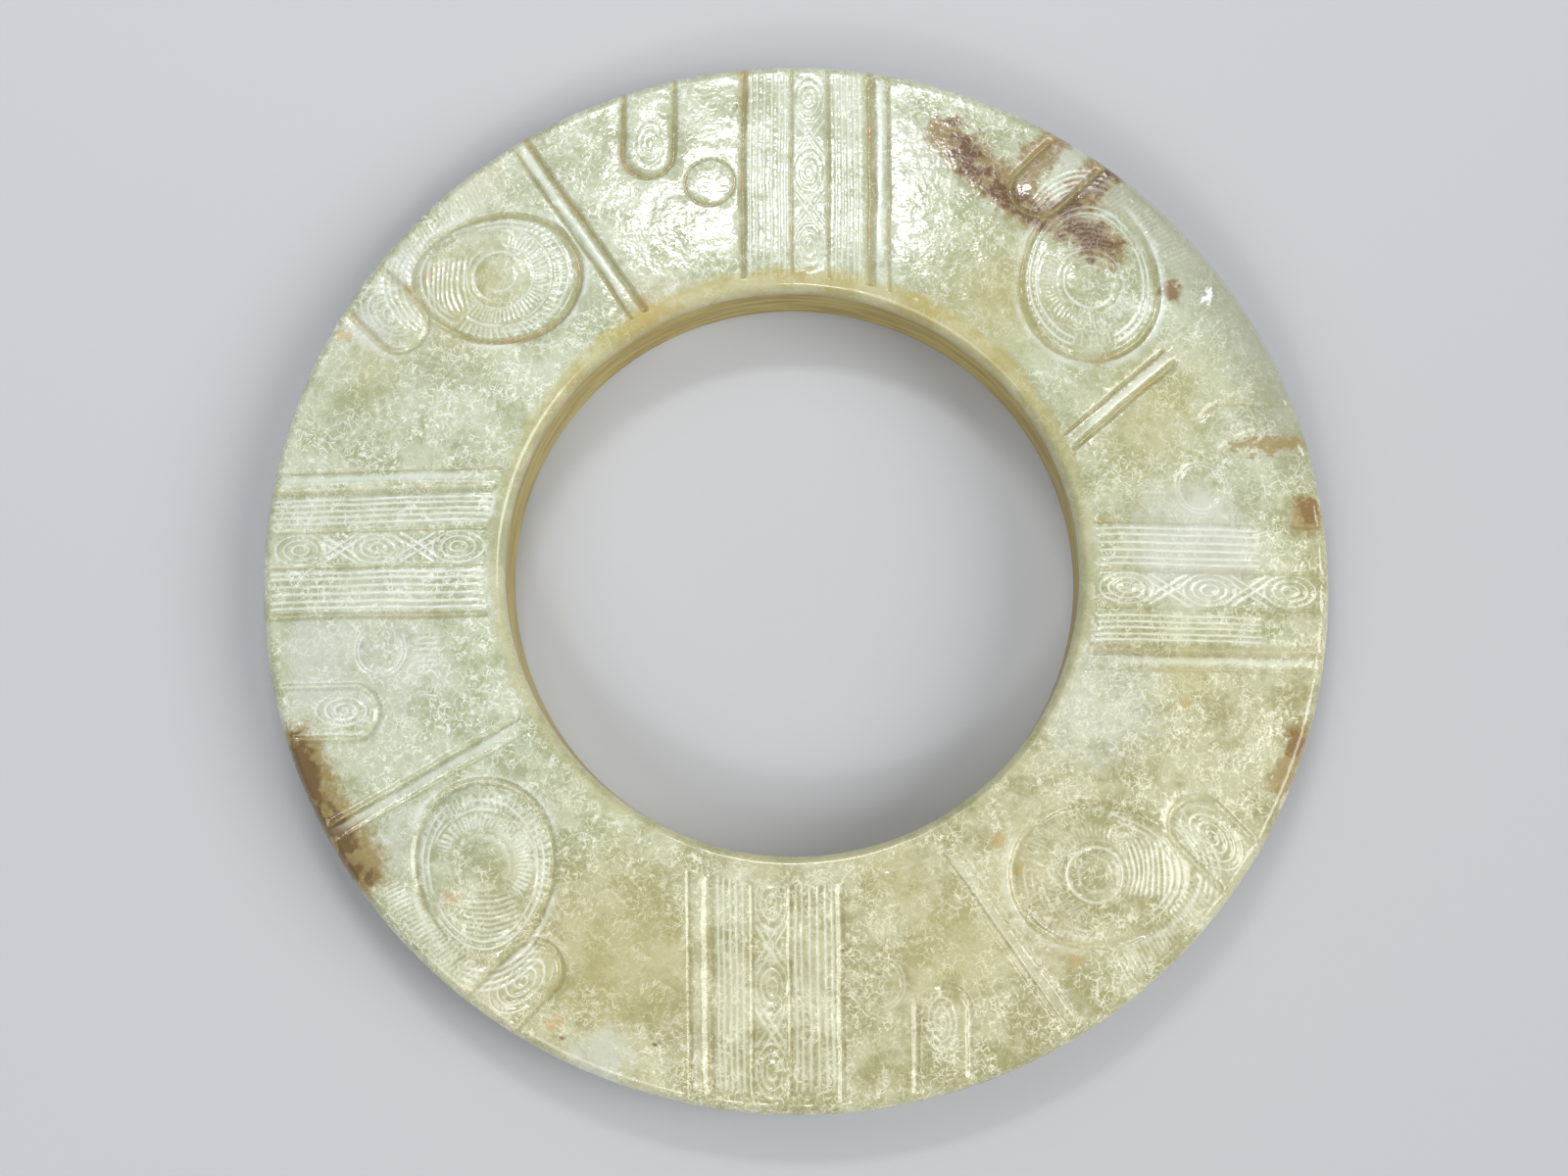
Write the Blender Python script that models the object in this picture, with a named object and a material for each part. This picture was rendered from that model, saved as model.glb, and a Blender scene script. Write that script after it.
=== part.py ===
"""A carved jade ring pendant, lying face up. Metres, +Z up, origin under its centre.

The ring is thickest beside its bore, and both faces fall away to a blunt, rounded rim. Four
sets of carving go round it: a band of straight grooves, a small eye, a tongue, a ridge between
two grooves, a large egg-shaped eye and a nose. Tongue, nose and straight grooves run out at the
rim. The back repeats the main lines under those of the front, and has no finer ones.
"""

import math

import bpy
from mathutils import Matrix, Vector

# The ring blank
OUTER_RADIUS = 0.055
BORE_RADIUS = 0.0293
THICKNESS = 0.010
RIM_THICKNESS = 0.0044
LIP_ROUND = 0.00125
RIM_ROUND = 0.0014
LAND_WIDTH = 0.0025
FACE_CURVE = 1.25
OVAL_STRETCH = 0.006
OVAL_ANGLE = 150

# Four sets of carving, each placed from the middle line of its band, and cut or worn to its own
# share of the full depth
SET_ANGLES = {"east": 0, "north": 90, "west": 180, "south": 270}
SET_DEPTHS = {"east": 0.75, "north": 1, "west": 0.85, "south": 0.65}

# Straight grooves of a band: where they start beside the bore, how wide and deep they are, and how
# far each lies from the middle line. Those in BORDER_GROOVES are on the back too.
LINE_START = 0.031
GROOVE_WIDTH = 0.0006
GROOVE_DEPTH = 0.00030
BORDER_WIDTH = 0.0010
BORDER_DEPTH = 0.00055
BORDER_GROOVES = {"left": 0.0048, "right": -0.0084}
PANEL_GROOVES = {"spiral_left": -0.0003, "spiral_right": -0.0041, "outer": -0.0104}

# The ridge beside the large eye: a wide groove, the ridge and a narrow groove, at another angle
# in each set
RIDGE_TURNS = {"east": 41, "north": 34, "west": 29, "south": 35}
RIDGE_OFFSETS = {"east": -0.0087, "north": -0.0019, "west": 0.0011, "south": -0.0036}
RIDGE_WIDTH = 0.0009

# Tongue and nose: bars with a round end, open at the rim, each inside a groove
TONGUE_OFFSET = 0.0148
TONGUE_HALF_WIDTH = 0.0027
TONGUE_LENGTH = 0.0110
NOSE_TURN = 45
NOSE_OFFSET = 0.0103
NOSE_HALF_WIDTH = 0.0029
NOSE_LENGTH = 0.0097

# Small eye: a ring groove, set a little outside the middle of the face
SMALL_EYE_ANGLE = 11.4
SMALL_EYE_OUTWARD = 0.0004
SMALL_EYE_RADIUS = 0.0026

# Large eye: an egg-shaped groove round the ring groove of its pupil
LARGE_EYE_ANGLE = 44.8
LARGE_EYE_OUTWARD = 0.0016
EGG_HALF_LENGTH = 0.0089
EGG_HALF_WIDTH = 0.0070
EGG_POINT = 0.12
PUPIL_RADIUS = 0.0028
PUPIL_SHIFT = 0.0005

# Fineness of the faceted solid
TURN_STEPS = 60
LIP_STEPS = 2
FACE_STEPS = 3
RIM_STEPS = 3
EGG_STEPS = 20
RING_STEPS = 12
END_STEPS = 6

# A cutter stands this far out of the stone that it cuts
CUTTER_RISE = 0.0004

MIDDLE = THICKNESS / 2
RIM_EDGE = OUTER_RADIUS - RIM_ROUND
LAND_EDGE = BORE_RADIUS + LIP_ROUND + LAND_WIDTH
FACE_MIDDLE = (BORE_RADIUS + OUTER_RADIUS) / 2


def face_height(radius):
    """Height of the front face over the ring's middle plane."""
    share = (radius - LAND_EDGE) / (RIM_EDGE - LAND_EDGE)
    share = min(max(share, 0), 1)
    return MIDDLE - (MIDDLE - RIM_THICKNESS / 2) * share**FACE_CURVE


def quarter_outline():
    """Radius and height of the upper half of the section, from the bore to the rim's equator."""
    points = []
    for step in range(LIP_STEPS + 1):
        turn = math.pi / 2 * step / LIP_STEPS
        radius = BORE_RADIUS + LIP_ROUND * (1 - math.cos(turn))
        points.append((radius, MIDDLE - LIP_ROUND * (1 - math.sin(turn))))
    for step in range(FACE_STEPS + 1):
        radius = LAND_EDGE + (RIM_EDGE - LAND_EDGE) * step / FACE_STEPS
        points.append((radius, face_height(radius)))
    for step in range(1, RIM_STEPS + 1):
        turn = math.pi / 2 * step / RIM_STEPS
        radius = RIM_EDGE + RIM_ROUND * math.sin(turn)
        points.append((radius, RIM_THICKNESS / 2 * math.cos(turn)))
    return points


def with_lower_half(upper):
    """An outline down to the rim's equator, carried on round the lower half."""
    return upper + [(radius, -height) for radius, height in reversed(upper[:-1])]


def in_stone(point):
    """A point of the round design, moved as the slightly oval ring has it."""
    turn = Matrix.Rotation(math.radians(OVAL_ANGLE), 3, "Z")
    along_oval = turn.transposed() @ Vector(point)
    along_oval.x *= 1 + OVAL_STRETCH
    along_oval.y *= 1 - OVAL_STRETCH
    return turn @ along_oval + Vector((0, 0, MIDDLE))


def from_line(angle, offset, along):
    """Plan position at a distance beside and along a line from the centre at this angle."""
    turn = math.radians(angle)
    x = along * math.cos(turn) - offset * math.sin(turn)
    y = along * math.sin(turn) + offset * math.cos(turn)
    return x, y


def shifted(place, angle, offset, along):
    """Plan position moved sideways and along the line at this angle."""
    x, y = from_line(angle, offset, along)
    return place[0] + x, place[1] + y


def whole_turn(steps):
    """Evenly spaced angles round a full turn, in radians."""
    return [2 * math.pi * step / steps for step in range(steps)]


def skin(name, loops, endless):
    """A closed mesh object through loops of equally many points, with flat ends or endless."""
    size = len(loops[0])
    points = [in_stone(point) for loop in loops for point in loop]
    faces = []
    for index in range(len(loops) if endless else len(loops) - 1):
        here = index * size
        beyond = (index + 1) % len(loops) * size
        for corner in range(size):
            other = (corner + 1) % size
            faces.append((here + corner, beyond + corner, beyond + other, here + other))
    if not endless:
        faces.append(tuple(range(size)))
        faces.append(tuple(reversed(range(len(points) - size, len(points)))))
    mesh = bpy.data.meshes.new(name)
    mesh.from_pydata(points, [], faces)
    return bpy.data.objects.new(name, mesh)


def jade():
    """Pale yellow-green nephrite with a polish."""
    stone = bpy.data.materials.new("jade")
    stone.use_nodes = True
    shader = stone.node_tree.nodes["Principled BSDF"]
    shader.inputs["Base Color"].default_value = (0.56, 0.58, 0.37, 1)
    shader.inputs["Roughness"].default_value = 0.25
    shader.inputs["Metallic"].default_value = 0
    return stone


def blank():
    """The ring before it is carved: its section taken round the bore."""
    outline = with_lower_half(quarter_outline())
    loops = []
    for turn in whole_turn(TURN_STEPS):
        loops.append([(r * math.cos(turn), r * math.sin(turn), z) for r, z in reversed(outline)])
    ring = skin("jade_ring", loops, True)
    ring.data.materials.append(jade())
    bpy.context.scene.collection.objects.link(ring)
    return ring


def face_path(places, back=False):
    """Points and outward directions along plan positions on the front or back face."""
    side = -1 if back else 1
    path = []
    for x, y in places:
        path.append((Vector((x, y, side * face_height(math.hypot(x, y)))), Vector((0, 0, side))))
    return path


def straight_places(angle, offset, start):
    """Plan positions along a line beside the one at this angle, from its start to past the rim."""
    places = [from_line(angle, offset, start)]
    face_radii = [radius for radius, _ in quarter_outline()[LIP_STEPS:-RIM_STEPS]]
    for radius in face_radii + [OUTER_RADIUS + CUTTER_RISE]:
        along = math.sqrt(max(radius**2 - offset**2, 0))
        if along > start:
            places.append(from_line(angle, offset, along))
    return places


def groove_cutter(name, path, endless, width, depth):
    """A wedge along a path on the surface, for a groove of this width and depth."""
    half_top = width / 2 * (depth + CUTTER_RISE) / depth
    loops = []
    for index, (point, outward) in enumerate(path):
        before = path[index - 1] if endless else path[max(index - 1, 0)]
        after = path[(index + 1) % len(path)] if endless else path[min(index + 1, len(path) - 1)]
        side = (after[0] - before[0]).cross(outward).normalized()
        top = point + outward * CUTTER_RISE
        loops.append([point - outward * depth, top + side * half_top, top - side * half_top])
    cutter = skin(name, loops, endless)
    cutter.display_type = "WIRE"
    cutter.hide_render = True
    return cutter


def large_eye_centre(angle):
    """Middle of the large eye of the set at this angle."""
    return from_line(angle + LARGE_EYE_ANGLE, 0, FACE_MIDDLE + LARGE_EYE_OUTWARD)


def egg(angle, turn):
    """Plan position on the large eye's outline, its narrow end turned away from the band."""
    length = EGG_HALF_LENGTH * math.cos(turn)
    width = EGG_HALF_WIDTH * math.sin(turn) * (1 - EGG_POINT * math.cos(turn))
    return shifted(large_eye_centre(angle), angle, length, width)


def ring_places(centre, radius):
    """Plan positions round a small circle."""
    x, y = centre
    return [(x + radius * math.cos(t), y + radius * math.sin(t)) for t in whole_turn(RING_STEPS)]


def bar_places(angle, offset, half_width, length):
    """Plan positions round a bar that has one round end and is open at the rim."""
    centre = math.sqrt(OUTER_RADIUS**2 - offset**2) - length + half_width
    bend = []
    for step in range(1, END_STEPS):
        turn = math.pi * step / END_STEPS
        across = offset - half_width * math.cos(turn)
        bend.append(from_line(angle, across, centre - half_width * math.sin(turn)))
    near_leg = straight_places(angle, offset - half_width, centre)
    far_leg = straight_places(angle, offset + half_width, centre)
    return near_leg[::-1] + bend + far_leg


def main_lines(side, angle):
    """Plan positions of the lines that are on both faces, and whether each is endless."""
    lines = {}
    for place, offset in BORDER_GROOVES.items():
        lines[f"border_{place}"] = (straight_places(angle, offset, LINE_START), False)
    wide = RIDGE_OFFSETS[side] - (RIDGE_WIDTH + BORDER_WIDTH) / 2
    ridge_places = straight_places(angle + RIDGE_TURNS[side], wide, LINE_START)
    lines["ridge_wide"] = (ridge_places, False)
    tongue_places = bar_places(angle, TONGUE_OFFSET, TONGUE_HALF_WIDTH, TONGUE_LENGTH)
    lines["tongue"] = (tongue_places, False)
    nose_places = bar_places(angle + NOSE_TURN, NOSE_OFFSET, NOSE_HALF_WIDTH, NOSE_LENGTH)
    lines["nose"] = (nose_places, False)
    lines["large_eye"] = ([egg(angle, turn) for turn in whole_turn(EGG_STEPS)], True)
    return lines


def front_lines(side, angle):
    """Plan positions of the narrower lines, which the back doesn't have."""
    lines = {}
    for place, offset in PANEL_GROOVES.items():
        lines[f"panel_{place}"] = (straight_places(angle, offset, LINE_START), False)
    narrow = RIDGE_OFFSETS[side] + (RIDGE_WIDTH + GROOVE_WIDTH) / 2
    ridge_places = straight_places(angle + RIDGE_TURNS[side], narrow, LINE_START)
    lines["ridge_narrow"] = (ridge_places, False)
    pupil_centre = shifted(large_eye_centre(angle), angle, -PUPIL_SHIFT, 0)
    lines["pupil"] = (ring_places(pupil_centre, PUPIL_RADIUS), True)
    centre = from_line(angle + SMALL_EYE_ANGLE, 0, FACE_MIDDLE + SMALL_EYE_OUTWARD)
    lines["small_eye"] = (ring_places(centre, SMALL_EYE_RADIUS), True)
    return lines


def carving_of(side, angle):
    """The groove cutters of one set of carving."""
    cutters = []
    depth = SET_DEPTHS[side]
    for name, (places, endless) in main_lines(side, angle).items():
        for face, back in (("front", False), ("back", True)):
            path = face_path(places, back)
            label = f"{side}_{name}_{face}"
            cutters.append(groove_cutter(label, path, endless, BORDER_WIDTH, depth * BORDER_DEPTH))
    for name, (places, endless) in front_lines(side, angle).items():
        path = face_path(places)
        label = f"{side}_{name}"
        cutters.append(groove_cutter(label, path, endless, GROOVE_WIDTH, depth * GROOVE_DEPTH))
    return cutters


def carve(ring):
    """Cuts every groove out of the blank."""
    for side, angle in SET_ANGLES.items():
        tools = bpy.data.collections.new(f"{side}_grooves")
        tools.hide_render = True
        bpy.context.scene.collection.children.link(tools)
        for cutter in carving_of(side, angle):
            tools.objects.link(cutter)
        cut = ring.modifiers.new(f"{side} grooves", "BOOLEAN")
        cut.operation = "DIFFERENCE"
        cut.solver = "EXACT"
        cut.operand_type = "COLLECTION"
        cut.collection = tools


for thing in list(bpy.data.objects):
    bpy.data.objects.remove(thing)
carve(blank())
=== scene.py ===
"""Dresses the jade ring pendant: its fine carving, its stone and the studio that it lies in."""

import functools
import math

import bpy
from mathutils import Matrix, Vector


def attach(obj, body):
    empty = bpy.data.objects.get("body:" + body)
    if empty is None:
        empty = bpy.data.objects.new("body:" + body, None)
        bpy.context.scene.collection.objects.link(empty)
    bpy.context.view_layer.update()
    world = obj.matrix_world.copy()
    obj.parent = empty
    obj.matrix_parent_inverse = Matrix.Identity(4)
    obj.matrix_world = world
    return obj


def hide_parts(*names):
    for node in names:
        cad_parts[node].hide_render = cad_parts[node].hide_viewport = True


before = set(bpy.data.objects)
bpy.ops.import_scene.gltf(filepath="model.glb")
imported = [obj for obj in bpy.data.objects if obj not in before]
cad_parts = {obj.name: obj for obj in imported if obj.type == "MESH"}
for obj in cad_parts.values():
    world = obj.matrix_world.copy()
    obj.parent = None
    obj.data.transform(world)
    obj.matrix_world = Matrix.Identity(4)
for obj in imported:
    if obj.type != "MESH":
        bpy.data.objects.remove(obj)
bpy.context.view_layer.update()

# The stone's form and carving
#
# One flat ring of nephrite jade, ground to shape, carved on both faces in four equal sets and then
# polished. Long grooves are ground with a wheel, and the finest lines are scratched in by hand.


class Measure:
    """A socket of a node tree to reckon with: arithmetic on it adds Math nodes to the tree."""

    def __init__(self, tree, socket=None):
        self.tree = tree
        self.socket = socket

    def node(self, kind, settings=(), sockets=(), output=0):
        """One output of a new node, its settings made first and then its sockets filled."""
        made = self.tree.nodes.new(kind)
        for name, value in dict(settings).items():
            setattr(made, name, value)
        for key, value in dict(sockets).items():
            if isinstance(value, Measure):
                self.tree.links.new(value.socket, made.inputs[key])
            else:
                made.inputs[key].default_value = value
        return Measure(self.tree, made.outputs[output])

    def math(self, operation, *values, clamped=False):
        settings = {"operation": operation, "use_clamp": clamped}
        return self.node("ShaderNodeMath", settings, dict(enumerate(values)))

    def __add__(self, other):
        return self.math("ADD", self, other)

    def __radd__(self, other):
        return self.math("ADD", other, self)

    def __sub__(self, other):
        return self.math("SUBTRACT", self, other)

    def __rsub__(self, other):
        return self.math("SUBTRACT", other, self)

    def __mul__(self, other):
        return self.math("MULTIPLY", self, other)

    def __rmul__(self, other):
        return self.math("MULTIPLY", other, self)

    def __truediv__(self, other):
        return self.math("DIVIDE", self, other)

    def __rtruediv__(self, other):
        return self.math("DIVIDE", other, self)

    def __pow__(self, power):
        return self.math("POWER", self, power)

    def __mod__(self, period):
        return self.math("FLOORED_MODULO", self, period)

    def __floordiv__(self, other):
        return self.math("FLOOR", self / other)

    def __abs__(self):
        return self.math("ABSOLUTE", self)


def larger(first, second):
    return first.math("MAXIMUM", first, second)


def smaller(first, second):
    return first.math("MINIMUM", first, second)


def share(value):
    """A value kept between nought and one."""
    return value.math("ADD", value, 0, clamped=True)


def sine(value):
    return value.math("SINE", value)


def cosine(value):
    return value.math("COSINE", value)


def distance(first, second):
    """How far a place is, from its distances along two directions."""
    square = first * first + second * second
    return square.math("SQRT", square)


def rise(value, start, end):
    """Eases from nought at the start to one at the end."""
    settings = {"interpolation_type": "SMOOTHSTEP"}
    limits = {"Value": value, "From Min": start, "From Max": end}
    return value.node("ShaderNodeMapRange", settings, limits)


def fall(value, start, end):
    """Eases from one at the start to nought at the end."""
    settings = {"interpolation_type": "SMOOTHSTEP"}
    limits = {"Value": value, "From Min": start, "From Max": end, "To Min": 1, "To Max": 0}
    return value.node("ShaderNodeMapRange", settings, limits)


def between(value, start, end, ease):
    """One between two limits, eased inside them."""
    return rise(value, start, start + ease) * fall(value, end - ease, end)


def deepest(cuts):
    return functools.reduce(larger, cuts)


def total(parts):
    return functools.reduce(lambda so_far, part: so_far + part, parts)


def noise(place, size, seed, detail=0.0, roughness=0.5):
    """Soft noise about this size, from nought to one, with a seed of its own."""
    settings = {"noise_dimensions": "4D"}
    sockets = {"Vector": place, "W": seed, "Scale": 1 / size, "Detail": detail}
    sockets["Roughness"] = roughness
    return place.node("ShaderNodeTexNoise", settings, sockets)


# Sizes of the ring, in millimetres, as its named inputs. They are a hair under the solid's, so that
# its underside doesn't dip through what it lies on.
RING_SIZES = {
    "Outer radius": 54.99,
    "Bore radius": 29.3,
    "Thickness": 9.985,
    "Rim thickness": 4.4,
    "Lip round": 1.25,
    "Rim round": 1.4,
    "Land width": 2.5,
    "Face curve": 1.25,
    "Oval stretch": 0.006,
    "Groove depth": 0.55,
    "Panel groove depth": 0.30,
    "Engraving depth": 0.10,
}
SOLID_MIDDLE = 5.0
OVAL_ANGLE = 150
SEAM = 0.001

# How finely the skin is laid out, and the share of its triangles that is kept
COLUMNS = 2400
WALL_ROWS = 6
LIP_ROWS = 9
RIM_ROWS = 14
FRONT_ROWS = 190
BACK_ROWS = 64
KEPT_SHARE = 0.132

carving = bpy.data.node_groups.new("ring carving", "GeometryNodeTree")
carving.is_modifier = True
carving.interface.new_socket("Geometry", in_out="OUTPUT", socket_type="NodeSocketGeometry")
size_keys = {}
for name in RING_SIZES:
    socket = carving.interface.new_socket(name, in_out="INPUT", socket_type="NodeSocketFloat")
    size_keys[name] = socket.identifier
stone = Measure(carving)
given = carving.nodes.new("NodeGroupInput")
sizes = {name: Measure(carving, given.outputs[name]) for name in RING_SIZES}

outer = sizes["Outer radius"]
bore = sizes["Bore radius"]
middle = sizes["Thickness"] * 0.5
lip_round = sizes["Lip round"]
rim_round = sizes["Rim round"]
half_rim = sizes["Rim thickness"] * 0.5
rim_edge = outer - rim_round
lip_edge = bore + lip_round
land_edge = lip_edge + sizes["Land width"]


def parted(vector):
    """The three parts of a vector."""
    return [vector.node("ShaderNodeSeparateXYZ", {}, {0: vector}, output=i) for i in range(3)]


def joined(x, y, z):
    """A vector from its three parts."""
    return x.node("ShaderNodeCombineXYZ", {}, {0: x, 1: y, 2: z})


def placed(shape, position):
    """The shape with its points moved to these positions."""
    sockets = {"Geometry": shape, "Position": position}
    return shape.node("GeometryNodeSetPosition", {}, sockets)


def half_ring(side, face_rows):
    """The skin of one half, from the middle of the bore's wall round to the rim's equator."""
    rows = WALL_ROWS + LIP_ROWS + face_rows + RIM_ROWS
    counts = {"Size X": 1, "Size Y": 1, "Vertices X": COLUMNS + 1, "Vertices Y": rows + 1}
    sheet = stone.node("GeometryNodeMeshGrid", {}, counts)
    x, y, _ = parted(stone.node("GeometryNodeInputPosition"))
    turn = (x + 0.5) * (-side * 2 * math.pi)
    row = (y + 0.5) * rows
    up_wall = share(row / WALL_ROWS)
    over_lip = share((row - WALL_ROWS) / LIP_ROWS) * (math.pi / 2)
    over_face = share((row - WALL_ROWS - LIP_ROWS) / face_rows)
    over_rim = share((row - WALL_ROWS - LIP_ROWS - face_rows) / RIM_ROWS) * (math.pi / 2)
    radius = bore + lip_round * (1 - cosine(over_lip)) + (rim_edge - lip_edge) * over_face
    radius = radius + rim_round * sine(over_rim)
    past_land = share((radius - land_edge) / (rim_edge - land_edge))
    height = (middle - lip_round) * up_wall + lip_round * sine(over_lip)
    height = height - (middle - half_rim) * past_land ** sizes["Face curve"]
    height = height - half_rim * (1 - cosine(over_rim))
    return placed(sheet, joined(radius * cosine(turn), radius * sine(turn), height * side))


halves = stone.node("GeometryNodeJoinGeometry")
for half in (half_ring(1, FRONT_ROWS), half_ring(-1, BACK_ROWS)):
    carving.links.new(half.socket, halves.socket.node.inputs[0])
blank = stone.node("GeometryNodeMergeByDistance", {}, {"Geometry": halves, "Distance": SEAM})

# Each set of carving is laid out from the middle line of its band: across it, and out along it.
# The hand wavers, so the layout wavers too. Lengths are in millimetres and headings in degrees.
FIRST_SET_STARTS = -25
WAVER = 0.5
CARVING_ENDS = (53.3, 54.9)
place = stone.node("GeometryNodeInputPosition")
design_x, design_y, design_z = parted(place)
front = rise(design_z, 0, 0.8)
waver_x = noise(place, 7, seed=1.3, detail=2) * WAVER - WAVER / 2
waver_y = noise(place, 7, seed=8.1, detail=2) * WAVER - WAVER / 2
held_x = design_x + waver_x
held_y = design_y + waver_y
radius = distance(held_x, held_y)
angle = held_y.math("ARCTAN2", held_y, held_x) * (180 / math.pi)
set_number = (angle - FIRST_SET_STARTS) // 90
turned = (angle - set_number * 90) * (math.pi / 180)
set_number = set_number % 4
across = radius * sine(turned)
along = radius * cosine(turned)
wear = noise(place, 9, seed=3.7, detail=2) * 1.6 + 0.2
scratchy = noise(place, 1.6, seed=5.2, detail=2) * 1.5 + 0.25


def by_set(east, north, west, south):
    """A value that differs from one set of carving to the next."""
    values = (east, north, west, south)
    return total(set_number.math("COMPARE", set_number, i, 0.5) * v for i, v in enumerate(values))


def from_heading(degrees):
    """Across and along, measured from the line at this angle from the band."""
    c, s = math.cos(math.radians(degrees)), math.sin(math.radians(degrees))
    return across * c - along * s, along * c + across * s


def line(beside, forth, offset, start, end, half_width):
    """A straight stroke along a heading, from one distance to another, with round ends."""
    past = larger(larger(start - forth, forth - end), 0)
    return fall(distance(beside - offset, past), 0, half_width)


def loops(beside, forth, half_length, half_width, turns, stroke, coiled=True):
    """Strokes round and round an oval, in towards its middle."""
    reach = distance(beside / half_width, forth / half_length)
    if coiled:
        reach = reach + beside.math("ARCTAN2", beside, forth) / (2 * math.pi * turns)
    beat = abs((reach * turns) % 1 - 0.5) * (2 * half_width / turns)
    within = fall(reach, 1, 1.12)
    return fall(half_width / turns - beat, 0, stroke) * within


def bar(beside, forth, offset, half_width, length, stroke):
    """The groove round a bar that is open at the rim, and how far in from it a place lies."""
    end = math.sqrt(RING_SIZES["Outer radius"] ** 2 - offset**2) - length + half_width
    off_line = distance(beside - offset, smaller(forth - end, 0))
    return fall(abs(off_line - half_width), 0, stroke), fall(off_line, 0, half_width)


# Long grooves: the borders of the band, the ridge beside the large eye, and the panel's dividers
GROOVE_REACH = 0.52
WIDE_REACH = 0.78
PANEL_REACH = 0.30
LIP_LINE = 29.0
RIM_LINE = 54.2
UNENDING = 70
LEFT_BORDER = 4.8
RIGHT_BORDER = -8.4
DIVIDERS = (-0.3, -4.1, -10.4)
RIDGE_HEADINGS = (41, 34, 29, 35)
RIDGE_OFFSETS = (-8.7, -1.9, 1.1, -3.6)
RIDGE_ENDS = (44, UNENDING, UNENDING, UNENDING)
RIDGE_WIDE_SIDE = -0.95
RIDGE_NARROW_SIDE = 0.75
grooves = []
panel_grooves = []
left_border = line(across, along, LEFT_BORDER, LIP_LINE, UNENDING, GROOVE_REACH)
grooves.append(left_border * by_set(0.5, 1, 0.9, 0.45))
right_border = line(across, along, RIGHT_BORDER, LIP_LINE, UNENDING, WIDE_REACH)
grooves.append(right_border * by_set(0.8, 1.1, 0.65, 0.45))
for offset in DIVIDERS:
    divider = line(across, along, offset, LIP_LINE, RIM_LINE, PANEL_REACH)
    panel_grooves.append(divider * by_set(0.7, 1, 0.9, 0.55))
turn_cosine = by_set(*(math.cos(math.radians(heading)) for heading in RIDGE_HEADINGS))
turn_sine = by_set(*(math.sin(math.radians(heading)) for heading in RIDGE_HEADINGS))
ridge_across = across * turn_cosine - along * turn_sine - by_set(*RIDGE_OFFSETS)
ridge_along = along * turn_cosine + across * turn_sine
ridge_end = by_set(*RIDGE_ENDS)
narrow_end = smaller(ridge_end, RIM_LINE)
wide = line(ridge_across, ridge_along, RIDGE_WIDE_SIDE, LIP_LINE, ridge_end, GROOVE_REACH)
grooves.append(wide * by_set(1, 1.1, 0.75, 0.45))
narrow = line(ridge_across, ridge_along, RIDGE_NARROW_SIDE, LIP_LINE, narrow_end, PANEL_REACH)
panel_grooves.append(narrow * by_set(1.2, 1.2, 0.6, 0.6))

# Tongue and nose, each inside a groove that laps over the rim
TONGUE = {"offset": 14.8, "half_width": 2.7, "length": 11.0}
NOSE = {"offset": 10.3, "half_width": 2.9, "length": 9.7}
NOSE_HEADING = 45
VALLEY_REACH = 1.5
tongue_groove, tongue_inside = bar(across, along, **TONGUE, stroke=GROOVE_REACH)
grooves.append(tongue_groove * by_set(0.35, 1.1, 0.65, 0.45))
nose_across, nose_along = from_heading(NOSE_HEADING)
nose_groove, nose_inside = bar(nose_across, nose_along, **NOSE, stroke=GROOVE_REACH)
grooves.append(nose_groove * by_set(1, 0.6, 0.7, 0.7))
nose_valley, _ = bar(nose_across, nose_along, **NOSE, stroke=VALLEY_REACH)

# Large eye: the egg-shaped groove in its shallow valley, and the thin ring of the pupil
EGG_ACROSS = 30.83
EGG_ALONG = 31.04
EGG_HALF_LENGTH = 8.9
EGG_HALF_WIDTH = 7.0
EGG_POINT = 0.12
EGG_MEAN_REACH = 7.7
PUPIL_OFFSET = 0.7
PUPIL_RADIUS = 2.75
egg_across = across - EGG_ACROSS
egg_along = along - EGG_ALONG
egg_narrowing = 1 - egg_across * (EGG_POINT / EGG_HALF_LENGTH)
egg_reach = distance(egg_across / EGG_HALF_LENGTH, egg_along / egg_narrowing / EGG_HALF_WIDTH)
egg_off = (egg_reach - 1) * EGG_MEAN_REACH
egg_worn = by_set(0.8, 1.0, 0.7, 0.5) * (rise(egg_across * -1, -9, -2) * 0.75 + 0.25)
grooves.append(fall(abs(egg_off), 0, GROOVE_REACH) * egg_worn)
egg_inside = fall(egg_reach, 0, 1)
pupil_across = egg_across + PUPIL_OFFSET
pupil_off = distance(pupil_across, egg_along)
pupil_angle = egg_along.math("ARCTAN2", egg_along, pupil_across)
pupil_worn = rise(noise(place, 5, seed=12.2, detail=1), 0.36, 0.5) * by_set(0.9, 0.8, 0.4, 0.8)
pupil_ring = fall(abs(pupil_off - PUPIL_RADIUS), 0, 0.26) * pupil_worn

# Small eye: two thin rings, and one bolder ring in the north set
SMALL_EYE_ACROSS = 8.41
SMALL_EYE_ALONG = 41.9
SMALL_EYE_RADII = (2.35, 2.72)
NORTH_EYE_X = -8.26
NORTH_EYE_Y = 41.18
NORTH_EYE_RADIUS = 2.62
small_off = distance(across - SMALL_EYE_ACROSS, along - SMALL_EYE_ALONG)
small_rings = deepest(fall(abs(small_off - reach), 0, 0.16) for reach in SMALL_EYE_RADII)
small_worn = rise(noise(place, 4, seed=3.3), 0.36, 0.5) * by_set(0.6, 0, 0.9, 0.4)
eye_rings = larger(small_rings * small_worn, pupil_ring) * front
north_off = distance(design_x - NORTH_EYE_X, design_y - NORTH_EYE_Y) - NORTH_EYE_RADIUS
north_ring = fall(abs(north_off), 0, 0.28) * front

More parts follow.
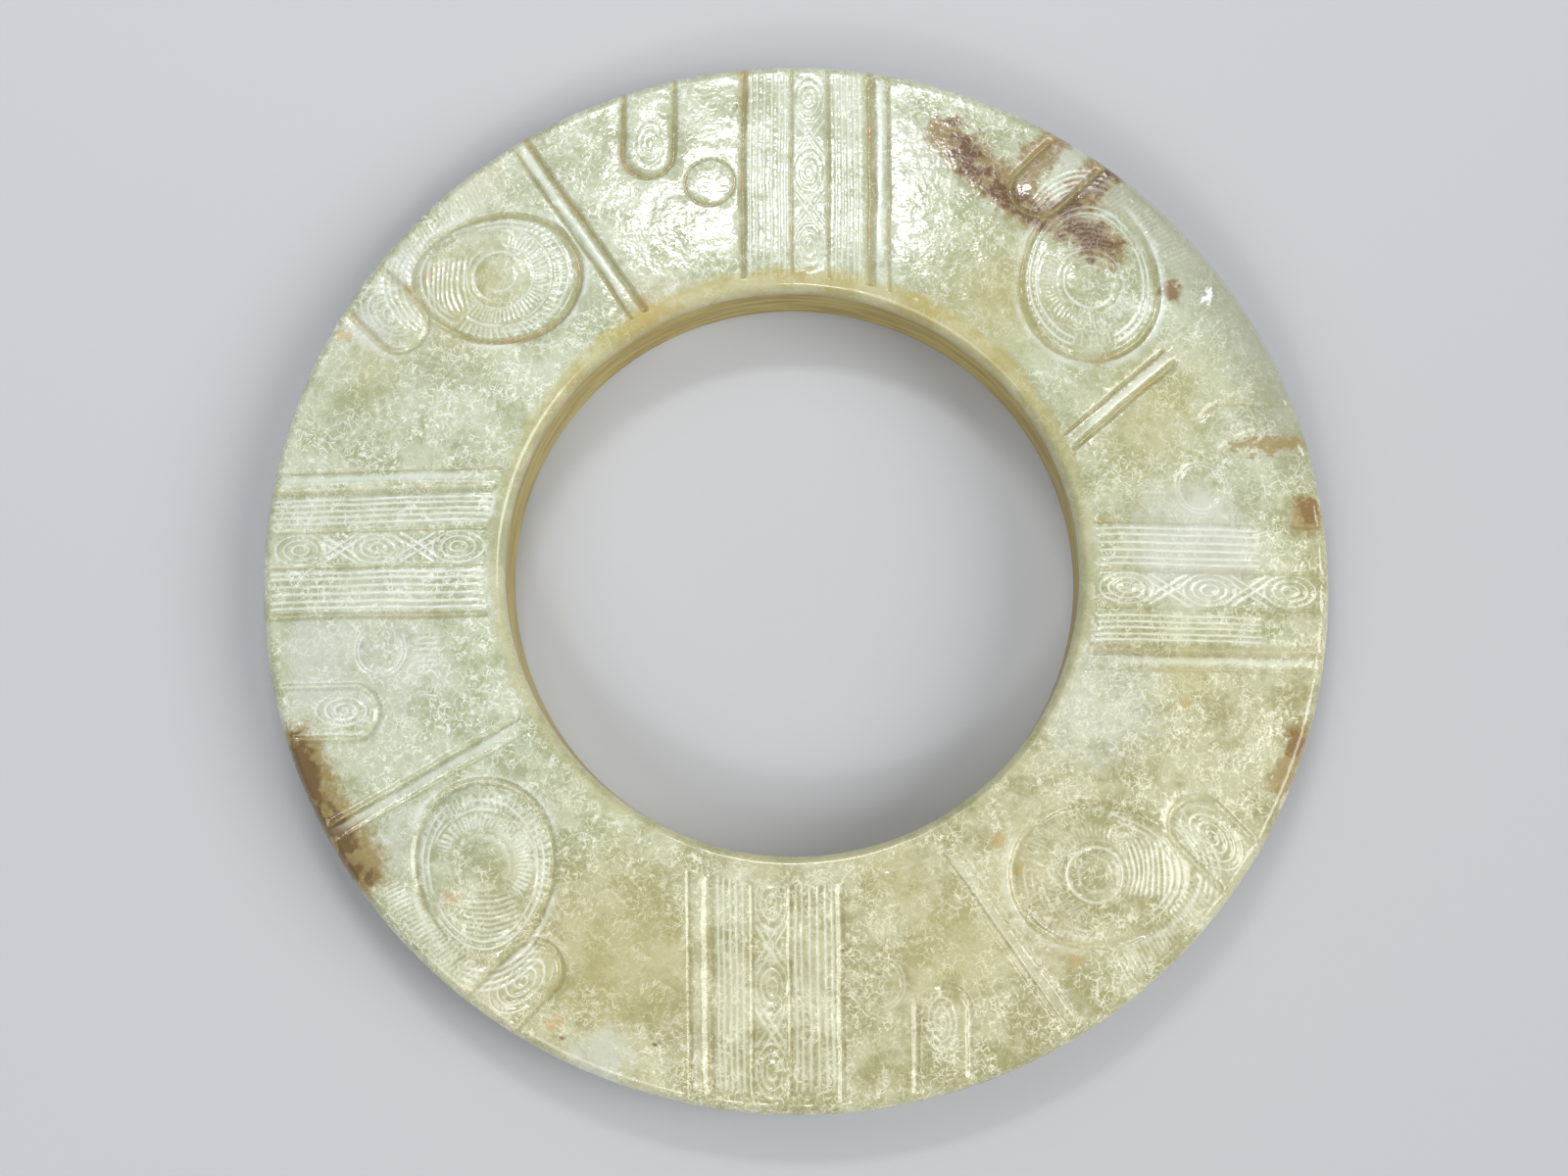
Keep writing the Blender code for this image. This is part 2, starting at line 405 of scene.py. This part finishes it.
# Lines scratched in by hand: the band's fine lines and its row of ovals with strokes between them
FINE = 0.2
FINE_ENDS = (47.5, 53.6, 53.6, 52.5)
FINE_LINES = (4.0, 3.35, 2.55, 1.75, 0.95, 0.35, -4.95, -5.6, -6.2, -6.85, -7.4)
PANEL_OFFSET = 2.15
OVALS = (33.9, 42.3, 50.6)
OVAL_SIZE = {"half_length": 2.7, "half_width": 1.6, "turns": 3}
CROSSINGS = (38.1, 46.4)
CROSSING_SLANT = 0.62
CROSSING_REACH = 2.1
PAIR_SHIFTS = (-0.45, 0.35)
SQUARE_ON = 0.85
fine_end = by_set(*FINE_ENDS)
in_panel = across + PANEL_OFFSET
scratches = []
for offset in FINE_LINES:
    scratches.append(line(across, along, offset, LIP_LINE, fine_end, FINE))
for oval in OVALS:
    scratches.append(loops(in_panel, along - oval, **OVAL_SIZE, stroke=FINE, coiled=False))
for crossing in CROSSINGS:
    for slope in (-1, 1):
        for shift in PAIR_SHIFTS:
            run = (along - crossing) * slope
            off_line = (in_panel - run * CROSSING_SLANT - shift) * SQUARE_ON
            held = between(abs(along - crossing), -1, CROSSING_REACH, 0.5)
            scratches.append(fall(abs(off_line), 0, FINE) * held)

# The coils inside tongue and nose
TONGUE_COIL = {"half_length": 2.9, "half_width": 1.7, "turns": 3}
NOSE_COIL = {"half_length": 4.1, "half_width": 2.4, "turns": 4}
coil = loops(across - 14.6, along - 45.6, **TONGUE_COIL, stroke=FINE)
scratches.append(coil * rise(tongue_inside, 0.2, 0.4) * by_set(0.5, 0.8, 1.2, 1))
coil = loops(nose_across - 10.4, nose_along - 48.6, **NOSE_COIL, stroke=FINE)
scratches.append(coil * rise(nose_inside, 0.1, 0.3) * by_set(0.15, 0.9, 1.1, 1.6))

# Lashes round the pupil, the curved strokes of the lids, and the ticks beside the rim
PUPIL_ARCS = ((1.7, 7.2), (3.5, 2.2))
LASH_STEP = 0.105
LASH_ROWS = ((3.5, 5.2), (5.6, 7.2))
BETWEEN_ROWS = 5.4
BOW_STEP = 0.54
BOW_BEND = 0.06
INNER_LINES = (-0.95, -1.6)
OUTER_LINES = (0.95, 1.5, 2.05, 2.6)
TICK_STEP = 0.5
TICK_RADIUS = 52
TICK_SLANT = 0.25
FAN_STEP = 0.6


def off_beat(value, step):
    """How far a value is from the nearest of evenly spaced strokes."""
    return abs((value + step / 2) % step - step / 2)


for reach, seed in PUPIL_ARCS:
    arc = fall(abs(pupil_off - reach), 0, FINE) * by_set(0.7, 0.9, 0.5, 0.5)
    scratches.append(arc * rise(noise(place, 4, seed), 0.46, 0.54))
lash = off_beat(pupil_angle + noise(place, 3, seed=14.1) * 0.35, LASH_STEP) * pupil_off
blunt = fall(pupil_across + egg_along * 0.6, 0.4, 2.2) * by_set(0.45, 1, 0.8, 0.5)
for start, end in LASH_ROWS:
    scratches.append(fall(lash, 0, FINE) * between(pupil_off, start, end, 0.3) * blunt)
parting = fall(abs(pupil_off - BETWEEN_ROWS), 0, FINE) * blunt
scratches.append(parting * rise(noise(place, 4, seed=6.2), 0.45, 0.5))
bowed = pupil_across + egg_along * egg_along * BOW_BEND + noise(place, 3, seed=16.1) * 0.8
bow_length = fall(abs(egg_along + 0.8), 2.2, 3.4) * between(bowed, 3.6, 8.6, 0.4)
bow_length = bow_length * by_set(0.5, 1, 0.6, 0.9)
scratches.append(fall(off_beat(bowed, BOW_STEP), 0, FINE) * bow_length)
for inner_line in INNER_LINES:
    on_line = fall(abs(egg_off - inner_line), 0, FINE)
    scratches.append(on_line * rise(noise(place, 6, seed=4.4 - inner_line), 0.45, 0.52))
for outer_line in OUTER_LINES:
    on_line = fall(abs(egg_off - outer_line), 0, FINE)
    scratches.append(on_line * rise(egg_across, 3.6, 5) * fall(abs(egg_along + 1.5), 3, 5))
tick = off_beat(turned * TICK_RADIUS + radius * TICK_SLANT, TICK_STEP)
ticks = fall(tick, 0, FINE) * between(radius, 50.8, 53.6, 0.35)
ticks = ticks * by_set(0.4, 0.8, 1, 0.9)
scratches.append(ticks * between(turned, math.radians(37), math.radians(56), 0.04) * 0.7)
below_small_eye = between(along, 35.6, 38.2, 0.5) * between(across, 6.4, 11.5, 0.4)
fan = fall(off_beat(across, FAN_STEP), 0, FINE) * below_small_eye
scratches.append(fan * by_set(0.3, 0, 0.6, 0.4))

# How deep it all goes
EYE_RING_DEPTH = 0.17
NORTH_EYE_DEPTH = 0.12
VALLEY_DEPTH = 0.14
fade = by_set(1, 0.75, 1, 0.75)
groove_mask = deepest(grooves)
panel_mask = deepest(panel_grooves) * front
scratch_mask = deepest(scratches) * front * scratchy * fade
cut = groove_mask * share(wear + 0.35) * sizes["Groove depth"]
cut = larger(cut, panel_mask * share(wear) * sizes["Panel groove depth"])
cut = larger(cut, eye_rings * EYE_RING_DEPTH)
cut = larger(cut, north_ring * NORTH_EYE_DEPTH)
cut = cut + scratch_mask * sizes["Engraving depth"]
egg_valley = fall(abs(egg_off), 0.2, 1.7) * egg_worn
valleys = larger(egg_valley, nose_valley * by_set(1, 0.6, 0.6, 0.9))
cut = cut + valleys * VALLEY_DEPTH

# The lip round the bore is plain and a little lower, with a clean step up to the carving
LIP_ENDS = (31.4, 30.9, 31.4, 32.4)
LIP_DEPTH = 0.09
lip_end = by_set(*LIP_ENDS) + noise(place, 3, seed=21.5) * 0.4 - 0.2
beyond_lip = rise(radius, lip_end - 0.25, lip_end + 0.15)
cut = cut * beyond_lip * fall(radius, *CARVING_ENDS)
cut = cut + fall(radius, lip_end - 0.25, lip_end + 0.15) * LIP_DEPTH

# Swellings: the eye and its pupil, tongue and nose, the ridges, and the unevenness of the grind
BORDER_RIDGE = 9.55
swellings = [
    egg_inside * 0.25,
    fall(egg_off, -1.9, -0.3) * 0.12,
    fall(pupil_off, 1.2, 3) * 0.08,
    tongue_inside * 0.14,
    nose_inside * 0.24,
    fall(abs(ridge_across), 0.1, 0.8) * fall(ridge_along, 42, 54) * 0.14,
    fall(abs(across + 2.2), 0.3, 1.9) * 0.07,
    fall(abs(across + BORDER_RIDGE), 0.1, 0.8) * 0.1,
    (noise(place, 8, seed=9.4, detail=1) - 1) * 0.1,
]

# Pits where the stone lost a grain: where each lies, and how wide it is
PITS = ((-23.0, -47.2, 0.45), (-13.6, -47.8, 0.4), (5.2, -38.5, 0.35), (-5.6, 49.9, 0.4))
PIT_DEPTH = 0.2
for pit_x, pit_y, reach in PITS:
    cut = cut + fall(distance(design_x - pit_x, design_y - pit_y), 0, reach) * front * PIT_DEPTH
rise_out = total(swellings) * rise(radius, 33.5, 36.5) * fall(radius, 52.5, 54.4) - cut
rise_out = rise_out * rise(radius, 29.9, 30.6)

# Marks for the stone's colour: soil keeps to the grooves, and scratches are pale
# The edges of the ridges and the eye's rim are painted pale, partly as rubbed wear and partly as
# painted highlight
ridge_edge = fall(abs(ridge_across + 0.1), 0.05, 0.5) * fall(ridge_along, ridge_end - 1, ridge_end)
border_edge = fall(abs(across + BORDER_RIDGE), 0.05, 0.5)
eye_edge = fall(abs(egg_off - 0.75), 0.05, 0.4) * rise(noise(place, 6, seed=27.5), 0.42, 0.56)
rubbed_and_highlit = larger(ridge_edge * by_set(0.9, 0.7, 0.5, 0.25), border_edge * by_set(0.6, 0.9, 0.7, 0.2))
rubbed_and_highlit = larger(rubbed_and_highlit, eye_edge * 0.8) * front * beyond_lip * fall(radius, *CARVING_ENDS)
marks = {
    "groove": larger(groove_mask, panel_mask * 0.8),
    "engraving_and_highlights": larger(larger(scratch_mask, eye_rings), rubbed_and_highlit),
}
shape = blank
for name, mask in marks.items():
    sockets = {"Geometry": shape, "Name": name, "Value": mask}
    shape = stone.node("GeometryNodeStoreNamedAttribute", {}, sockets)
outward = stone.node("GeometryNodeInputNormal")
sockets = {0: outward, "Scale": rise_out}
lifted = outward.node("ShaderNodeVectorMath", {"operation": "SCALE"}, sockets)
shape = stone.node("GeometryNodeSetPosition", {}, {"Geometry": shape, "Offset": lifted})

# The ring isn't quite round
x, y, z = parted(stone.node("GeometryNodeInputPosition"))
c, s = math.cos(math.radians(OVAL_ANGLE)), math.sin(math.radians(OVAL_ANGLE))
long_way = (x * c + y * s) * (1 + sizes["Oval stretch"])
short_way = (y * c - x * s) * (1 - sizes["Oval stretch"])
oval_x = long_way * c - short_way * s
oval_y = long_way * s + short_way * c
lifted_z = z + SOLID_MIDDLE
TO_METRES = 0.001
shape = placed(shape, joined(oval_x * TO_METRES, oval_y * TO_METRES, lifted_z * TO_METRES))

# Each point remembers how the finely carved skin faces there, for when the mesh is thinned
sockets = {"Geometry": shape, "Name": "facing", "Value": stone.node("GeometryNodeInputNormal")}
shape = stone.node("GeometryNodeStoreNamedAttribute", {"data_type": "FLOAT_VECTOR"}, sockets)

# The skin is smooth-shaded and made a plain mesh, thinned to what a piece may have
jade = bpy.data.materials.new("carved jade")
jade.use_nodes = True
shape = stone.node("GeometryNodeSetShadeSmooth", {}, {"Geometry": shape})
shape = stone.node("GeometryNodeRealizeInstances", {}, {"Geometry": shape})
shape = stone.node("GeometryNodeSetMaterial", {}, {"Geometry": shape, "Material": jade})
result = carving.nodes.new("NodeGroupOutput")
carving.links.new(shape.socket, result.inputs[0])

maker = bpy.data.objects.new("ring_maker", bpy.data.meshes.new("ring_maker"))
bpy.context.scene.collection.objects.link(maker)
carve = maker.modifiers.new("carving", "NODES")
carve.node_group = carving
for name, value in RING_SIZES.items():
    carve[size_keys[name]] = value
thin = maker.modifiers.new("thinning", "DECIMATE")
thin.ratio = KEPT_SHARE
graph = bpy.context.evaluated_depsgraph_get()
skin = bpy.data.meshes.new_from_object(maker.evaluated_get(graph), depsgraph=graph)
bpy.data.objects.remove(maker)
facings = [Vector(point.vector).normalized() for point in skin.attributes["facing"].data]
skin.normals_split_custom_set_from_vertices(facings)
skin.attributes.remove(skin.attributes["facing"])
ring = bpy.data.objects.new("carved_jade_ring", skin)
bpy.context.scene.collection.objects.link(ring)

# The stone's own look: pale celadon in the north, olive and cream in the south, and polished
look = Measure(jade.node_tree)
jade.node_tree.nodes.clear()


def mixed(first, second, mask):
    """A colour between two, by a mask."""
    settings = {"data_type": "RGBA"}
    return look.node("ShaderNodeMix", settings, {0: mask, 6: first, 7: second}, output=2)


def colour(red, green, blue):
    return (red, green, blue, 1)


def by_vectors(operation, first, second, output=0):
    """Vector Math on two vectors, which gives a vector, or a number at its second output."""
    settings = {"operation": operation}
    return look.node("ShaderNodeVectorMath", settings, {0: first, 1: second}, output)


def patchy(place, size, seed, detail=0.0, roughness=0.5):
    """Soft noise in the stone about this size, from nought to one, taken from a part of its own."""
    moved = by_vectors("ADD", place, (seed * 7.1, seed * -3.3, seed * 5.7))
    sockets = {"Vector": moved, "Scale": 1 / size, "Detail": detail, "Roughness": roughness}
    return look.node("ShaderNodeTexNoise", {}, sockets)


# Places on the stone in millimetres, and the marks that the carving left
metres = look.node("ShaderNodeTexCoord", output=3)
point = metres.node("ShaderNodeVectorMath", {"operation": "SCALE"}, {0: metres, "Scale": 1000})
px, py, pz = parted(point)
groove = look.node("ShaderNodeAttribute", {"attribute_name": "groove"}, output=2)
engraving_and_highlights = look.node("ShaderNodeAttribute", {"attribute_name": "engraving_and_highlights"}, output=2)
from_middle = distance(px, py)
front_face = rise(pz, 5.5, 6)

# Cloudy all through, from a deeper tone to a paler one, cool in the north and warm in the south
CELADON = colour(0.385, 0.415, 0.24)
PALE = colour(0.55, 0.59, 0.42)
OLIVE = colour(0.36, 0.34, 0.155)
CREAM = colour(0.56, 0.545, 0.34)
FELT = colour(0.88, 0.90, 0.78)
GOLDEN_FELT = colour(0.92, 0.90, 0.68)
broad = patchy(point, 12, seed=33.1, detail=1)
cloudy = patchy(point, 5, seed=1.1, detail=3, roughness=0.75)
clouds = rise(cloudy * 0.75 + broad * 0.25, 0.40, 0.60)
southward = patchy(point, 14, seed=4.1, detail=2) * 50 - 25 - py + px * 0.5
warmth = rise(southward, -8, 36)
body = mixed(mixed(CELADON, PALE, clouds), mixed(OLIVE, CREAM, clouds), warmth)

# Fibres in the stone show as a felt of short pale threads, thick in some patches and thin in others
LONG_THREADS = ((1.4, 5.5, 0.026), (0.85, 15.5, 0.036))
NETTED_THREADS = ((1.7, 61), (1.2, 83))
NET_WIDTH = 0.042
sockets = {"Vector": point, "Scale": 1.2, "Detail": 1}
bent = by_vectors("ADD", point, look.node("ShaderNodeTexNoise", {}, sockets, output=1))
strands = []
for size, seed, width in LONG_THREADS:
    strand = fall(abs(patchy(bent, size, seed, detail=1) - 0.5), 0, width)
    strands.append(strand * rise(patchy(point, size * 0.8, seed + 4), 0.42, 0.58))
for size, seed in NETTED_THREADS:
    sockets = {"Vector": by_vectors("ADD", bent, (seed, seed, 0)), "Scale": 1 / size}
    edge = look.node("ShaderNodeTexVoronoi", {"feature": "DISTANCE_TO_EDGE"}, sockets)
    strands.append(fall(edge, 0, NET_WIDTH) * rise(patchy(point, 0.8, seed), 0.44, 0.58))
threads = deepest(strands)
snowy = larger(fall(distance(px - 31, py + 14), 3, 12), fall(distance(px + 42, py + 10), 3, 12))
felted = share(rise(patchy(point, 4, seed=7.7, detail=2, roughness=0.6), 0.34, 0.62) + snowy * 0.45)
grain = rise(patchy(point, 0.45, seed=2.7, detail=3, roughness=0.7), 0.40, 0.66)
felt_mask = threads * (felted * 0.6 + 0.3) * (1 - warmth * 0.15) + grain * (felted * 0.2 + 0.06)
felt_mask = share(felt_mask) * (1 - share(engraving_and_highlights) * 0.6)
body = mixed(body, mixed(FELT, GOLDEN_FELT, warmth), felt_mask)

# Soil has stained it brown along a vein and at the rim, and orange where it lodged in the carving
RAGGED_REACH = 4.5
ragged_x = px + (patchy(point, 1.7, seed=6.1, detail=3, roughness=0.7) - 0.5) * RAGGED_REACH
ragged_y = py + (patchy(point, 1.7, seed=26.1, detail=3, roughness=0.7) - 0.5) * RAGGED_REACH
ragged = joined(ragged_x, ragged_y, 0)
mottle = patchy(bent, 0.8, seed=31.3, detail=2, roughness=0.7)


def distance_from(points):
    """How far a place lies from a chain of points, raggedly."""
    nearest = None
    for start, end in zip(points, points[1:]):
        run = Vector((end[0] - start[0], end[1] - start[1], 0))
        from_start = by_vectors("SUBTRACT", ragged, (*start, 0))
        forth = by_vectors("DOT_PRODUCT", from_start, run.normalized(), output=1)
        forth = smaller(larger(forth, 0), run.length)
        foot = joined(forth * run.normalized().x, forth * run.normalized().y, 0)
        off = by_vectors("DISTANCE", from_start, foot, output=1)
        nearest = off if nearest is None else smaller(nearest, off)
    return nearest


def spot(x, y, reach):
    return fall(by_vectors("DISTANCE", ragged, (x, y, 0), output=1), 0, reach)


def spots(places):
    """Ragged spots together: where each one lies, its reach and its strength."""
    return total(spot(x, y, reach) * strength for x, y, reach, strength in places)


def tint(stained, tone, mask, strength):
    """The stone with this tone where a mask is strong, mottled where it fades out."""
    return mixed(stained, tone, rise(mask + (mottle - 0.5) * 0.7, 0.15, 0.75) * strength)


# Chalky where it weathered and, in one patch of the north field, as painted highlight; grey along
# the upper right rim, and golden in soft patches
CHALKY = colour(0.68, 0.70, 0.62)
GREY = colour(0.35, 0.355, 0.26)
GOLDEN = colour(0.49, 0.43, 0.17)
CHALKY_AND_HIGHLIT_SPOTS = (
    (29.4, 44.0, 4, 1),
    (-44, 26, 6, 0.7),
    (-41, 33, 5, 0.7),
    (-49, -12, 5, 0.7),
    (-19, -49, 6, 0.8),
    (-40, -27, 6, 0.6),
    (41, 2, 12, 1),
    (-50, -7, 5, 0.7),
    # This last spot is painted highlight: it brightens the north field where the lamp's sheen
    # spreads
    (14, 44, 9, 0.5),
)
GOLDEN_SPOTS = (
    (-34, 29, 10, 1),
    (-44, 21, 5, 0.7),
    (22, 28, 12, 1),
    (37, 16, 13, 0.8),
    (16, -38.5, 9, 0.7),
    (-18, -39, 13, 1),
    (40, -11, 4, 0.8),
    (10, -31, 5, 0.7),
    (23, -31, 5, 0.8),
)
body = tint(body, CHALKY, share(spots(CHALKY_AND_HIGHLIT_SPOTS) + snowy * 0.5), 0.6)
heading = py.math("ARCTAN2", py, px) * (180 / math.pi)
grey_rim = between(heading, 6, 62, 14) * rise(from_middle + ragged_x - px, 47.5, 54)
body = mixed(body, GREY, grey_rim * 0.75)
body = mixed(body, GOLDEN, share(spots(GOLDEN_SPOTS)) * 0.55)

# The vein with its two forks, dark along its core
VEIN_BROWN = colour(0.30, 0.20, 0.08)
VEIN_PURPLE = colour(0.155, 0.08, 0.04)
SPECK_BROWN = colour(0.25, 0.15, 0.06)
CHIP_WHITE = colour(0.92, 0.95, 0.95)
VEIN = ((16.4, 46.2), (19.8, 42.6), (24.2, 38.4), (28.9, 36.2), (32.6, 33.8))
FORK_ABOVE = ((28.4, 46.8), (25.8, 43.6), (23.0, 39.6))
FORK_BELOW = ((34.0, 43.4), (30.8, 40.2), (28.4, 36.8))
off_vein = smaller(distance_from(VEIN), distance_from(FORK_BELOW) + 0.3)
vein = larger(fall(off_vein, 0, 4.2), fall(distance_from(FORK_ABOVE), 0, 3.2))
body = tint(body, VEIN_BROWN, vein, 0.85)
clumped = rise(patchy(point, 3.2, seed=51.7, detail=2, roughness=0.6), 0.42, 0.56)
core = fall(off_vein, 0, 2.9) * (clumped * 0.7 + 0.3)
body = tint(body, VEIN_PURPLE, core, 0.9)
body = tint(body, SPECK_BROWN, spot(39.4, 29.3, 2.1), 0.9)
body = tint(body, CHIP_WHITE, spot(43.4, 28.6, 1.1), 1)

# The brown rims, the russet at the right, and the orange specks
RIM_BROWN = colour(0.31, 0.22, 0.065)
RIM_DARK = colour(0.14, 0.08, 0.03)
RUSSET = colour(0.34, 0.24, 0.08)
DARK_RUSSET = colour(0.24, 0.14, 0.045)
BLUSH = colour(0.60, 0.50, 0.33)
ORANGE = colour(0.54, 0.38, 0.14)
LEFT_RIM = ((-50.8, -18.6), (-49.0, -22.4), (-46.6, -26.6), (-43.8, -30.4))
off_left_rim = distance_from(LEFT_RIM)
body = tint(body, RIM_BROWN, fall(off_left_rim, 0, 5.4), 0.85)
dark_rim = fall(off_left_rim, 0, 3.4) * rise(from_middle, 49.5, 53.5) * (clumped * 0.6 + 0.4)
body = tint(body, RIM_DARK, dark_rim, 0.85)
RIGHT_GROOVE = ((45.8, 12.7), (53.8, 13.1))
RIGHT_RIM = ((51.8, -17), (49.4, -21.8))
russet = larger(fall(distance_from(RIGHT_GROOVE), 0, 1.6) * 0.9, spot(53, 5.4, 3.6))
russet = larger(russet, fall(distance_from(RIGHT_RIM), 0, 2.6))
body = tint(body, RUSSET, russet, 0.75)
dark_russet = spot(53, 5.9, 2.1) + spot(51.2, -17.8, 2.5)
body = tint(body, DARK_RUSSET, dark_russet * (mottle + 0.5), 0.75)
BLUSH_SPOTS = ((-14, 28, 6, 1), (-33, 42, 5, 0.6), (26, -38, 5, 0.6), (-30, -42, 4, 0.6))
ORANGE_SPOTS = (
    (-23.8, -45.8, 1.6, 1),
    (-34.3, -33.2, 1.6, 1),
    (-37.8, 31.6, 1.5, 1),
    (-46.9, 25.4, 1.4, 1),
    (-40.5, 30.4, 1.2, 1),
    (-14.8, 27, 2.6, 1),
    (-5.2, 53.6, 1.2, 1),
    (22.8, -30.8, 1.2, 1),
    (28.5, -39.5, 1.7, 0.7),
    (20.5, -27.5, 1.3, 1),
    (39.3, -13.6, 1.0, 1),
)
body = mixed(body, BLUSH, share(spots(BLUSH_SPOTS)) * 0.45)
body = tint(body, ORANGE, spots(ORANGE_SPOTS), 0.6)

# Old soil sits in the pits
PIT_BROWN = colour(0.15, 0.09, 0.04)
for pit_x, pit_y, reach in PITS:
    off_pit = distance(px - pit_x, (py - pit_y) * 1.5) + mottle * 0.5
    body = mixed(body, PIT_BROWN, fall(off_pit, 0.2, reach + 0.35) * front_face)

# Some threads cross the stains, the grooves keep a little soil, and scratches show pale, with
# painted highlights along the rubbed edges
SOIL = colour(0.40, 0.35, 0.15)
RUSTY_SOIL = colour(0.44, 0.30, 0.11)
SCRATCH_AND_HIGHLIGHT_WHITE = colour(0.86, 0.9, 0.84)
body = mixed(body, FELT, threads * vein * 0.25)
soiled = rise(py + (patchy(point, 9, seed=44.4) - 0.5) * 60, -20, 42) * 0.4 + 0.28
soil = mixed(SOIL, RUSTY_SOIL, rise(patchy(point, 5, seed=17.7), 0.56, 0.68))
off_ring = distance(px + 8.5, py - 41.1) - NORTH_EYE_RADIUS
small_ring = fall(abs(off_ring), 0.03, 0.16) * front_face
body = mixed(body, soil, larger(groove * soiled, small_ring * 0.7))
scratch_and_highlight_tone = mixed(SCRATCH_AND_HIGHLIGHT_WHITE, GOLDEN_FELT, warmth * 0.6)
body = mixed(body, scratch_and_highlight_tone, share(engraving_and_highlights * 0.75) * (1 - groove) * (1 - vein * 0.7))

# The bore's lip and wall took up a golden brown, in bands that run round
LIP_GREEN = colour(0.43, 0.42, 0.22)
LIP_GOLD = colour(0.49, 0.40, 0.12)
LIP_CREAM = colour(0.60, 0.56, 0.33)
WALL_BROWN = colour(0.34, 0.24, 0.06)
WALL_GOLD = colour(0.48, 0.39, 0.11)
lip = fall(from_middle + (ragged_x - px) * 0.5 - py * 0.02, 30.2, 31.4)
lip_tone = mixed(LIP_GREEN, LIP_GOLD, rise(py, 5, 25))
lip_tone = mixed(lip_tone, LIP_CREAM, clouds * 0.6)
body = mixed(body, lip_tone, lip * (0.9 - mottle * 0.4))
level = joined(px * 0.15, py * 0.15, pz * 1.6)
bands = rise(patchy(level, 1.1, seed=9.3, detail=2), 0.4, 0.62)
wall = fall(from_middle, 29.4, 29.9) * fall(pz, 7.4, 8.6)
body = mixed(body, mixed(WALL_BROWN, WALL_GOLD, bands), wall * 0.9)

# The polish follows an uneven skin, duller on the wall of the bore
IOR_OF_JADE = 1.61
carved_side = rise(from_middle, 29.6, 30.8)
ripples = patchy(point, 1.2, seed=11.3, detail=2, roughness=0.6)
unevenness = ripples * 0.08 * (carved_side * 0.85 + 0.15)
unevenness = unevenness + patchy(point, 3.5, seed=12.3, detail=1) * 0.13 - small_ring * 0.08
bump = look.node("ShaderNodeBump", {}, {"Strength": 1, "Distance": 0.001, "Height": unevenness})
gloss = 0.05 + patchy(point, 1.2, seed=13.1, detail=2) * 0.18 + wall * 0.4
finish = {
    "Base Color": body,
    "Roughness": gloss,
    "IOR": IOR_OF_JADE,
    "Normal": bump,
}
surface = look.node("ShaderNodeBsdfPrincipled", {}, finish)
end_of_look = jade.node_tree.nodes.new("ShaderNodeOutputMaterial")
jade.node_tree.links.new(surface.socket, end_of_look.inputs["Surface"])

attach(ring, "root")
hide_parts("jade_ring")

# The studio: a pale paper floor, two soft lamps behind the ring and a small one before it, and
# daylight from two wide windows, at the near side and at the right.
FLOOR_REACH = 2.5
FLOOR_GREY = (0.53, 0.54, 0.56, 1)
FLOOR_ROUGHNESS = 0.7
SKY_BLUE = (0.9, 0.95, 1, 1)
SKY_STRENGTH = 0.26
WINDOW_SPREAD = math.radians(38)
floor_mesh = bpy.data.meshes.new("floor")
corners = [(x * FLOOR_REACH, y * FLOOR_REACH, 0) for x, y in ((-1, -1), (1, -1), (1, 1), (-1, 1))]
floor_mesh.from_pydata(corners, [], [(0, 1, 2, 3)])
floor = bpy.data.objects.new("floor", floor_mesh)
bpy.context.scene.collection.objects.link(floor)
paper = bpy.data.materials.new("pale floor")
paper.use_nodes = True
paper_sockets = paper.node_tree.nodes["Principled BSDF"].inputs
paper_sockets["Base Color"].default_value = FLOOR_GREY
paper_sockets["Roughness"].default_value = FLOOR_ROUGHNESS
floor_mesh.materials.append(paper)


def hang(light, place):
    """Hangs a light here, turned to the ring."""
    holder = bpy.data.objects.new(light.name, light)
    holder.location = place
    holder.rotation_euler = Vector(place).to_track_quat("Z", "Y").to_euler()
    bpy.context.scene.collection.objects.link(holder)


def lamp(name, place, width, height, power):
    """A soft lamp."""
    light = bpy.data.lights.new(name, "AREA")
    light.shape = "RECTANGLE"
    light.size = width
    light.size_y = height
    light.energy = power
    hang(light, place)


def window(name, place, strength):
    """Daylight from a wide window on this side, as bright at the floor's edge as at the ring."""
    light = bpy.data.lights.new(name, "SUN")
    light.energy = strength
    light.angle = WINDOW_SPREAD
    hang(light, place)


lamp("key lamp", (-0.02, 0.285, 0.40), width=0.15, height=0.05, power=0.52)
lamp("back lamp", (-0.1, 0.35, 0.50), width=0.4, height=0.4, power=0.5)
lamp("front lamp", (-0.08, -0.42, 0.42), width=0.10, height=0.06, power=0.4)
window("near window", (-0.35, -0.5, 0.6), strength=0.8)
window("right window", (0.6, -0.1, 0.5), strength=1.75)
world = bpy.data.worlds.new("studio")
world.use_nodes = True
sky_sockets = world.node_tree.nodes["Background"].inputs
sky_sockets["Color"].default_value = SKY_BLUE
sky_sockets["Strength"].default_value = SKY_STRENGTH
bpy.context.scene.world = world
bpy.context.scene.view_settings.view_transform = "Standard"

# The camera, at the photo's viewing angle: almost overhead, leaning back from the ring's near side
LEAN = math.radians(8.69)
SWAY = math.radians(1.91)
EYE_POINT = (0.007234, -0.038346, 0.24668)
SENSOR_WIDTH = 36
LENS = 54.18
back = Vector((math.sin(SWAY) * math.cos(LEAN), -math.sin(LEAN), math.cos(SWAY) * math.cos(LEAN)))
right = Vector((0, 1, 0)).cross(back).normalized()
eye = bpy.data.cameras.new("camera")
eye.sensor_width = SENSOR_WIDTH
eye.lens = LENS
eye.clip_start = 0.01
camera = bpy.data.objects.new("camera", eye)
turn = Matrix((right, back.cross(right), back)).transposed().to_4x4()
camera.matrix_world = Matrix.Translation(EYE_POINT) @ turn
bpy.context.scene.collection.objects.link(camera)
bpy.context.scene.camera = camera
